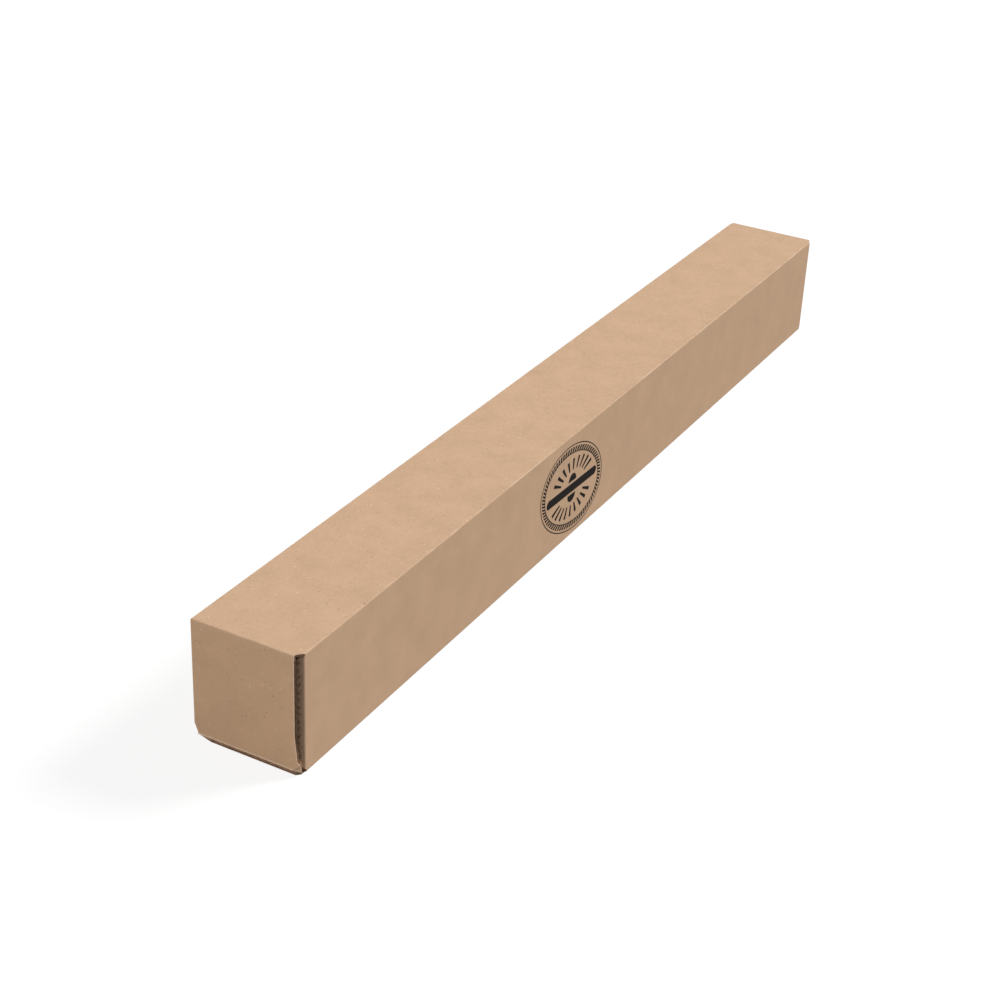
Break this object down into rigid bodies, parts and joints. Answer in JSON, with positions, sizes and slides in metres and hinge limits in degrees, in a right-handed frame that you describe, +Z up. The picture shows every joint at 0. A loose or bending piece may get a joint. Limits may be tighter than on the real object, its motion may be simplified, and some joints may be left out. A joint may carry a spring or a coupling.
{
  "type": "long cardboard mailing box",
  "caption": "Long straight tuck-end shipping carton in brown single-wall corrugated board, with a hinged closure flap at each end and a round print on one side.",
  "frame": {"origin": "middle of the closed carton's base, on the surface that it rests on", "axes": "+Y along the length towards the far end, +X across the width towards the printed side, +Z up"},
  "size_m": [0.0971, 1, 0.105],
  "materials": {
    "kraft_board": "matte",
    "black_ink": "matte"
  },
  "bodies": {
    "carton": {"box_sleeve": "kraft_board", "printed_seal": "black_ink"},
    "near_closure": {"near_closure_flap": "kraft_board"},
    "far_closure": {"far_closure_flap": "kraft_board"}
  },
  "joints": [
    {"name": "near_closure_crease", "type": "hinge", "parent": "carton", "child": "near_closure", "pos_m": [0, -0.5, 0.105], "axis": [-1, 0, 0], "range_deg": [0, 175]},
    {"name": "far_closure_crease", "type": "hinge", "parent": "carton", "child": "far_closure", "pos_m": [0, 0.5, 0.105], "axis": [1, 0, 0], "range_deg": [0, 175]}
  ]
}
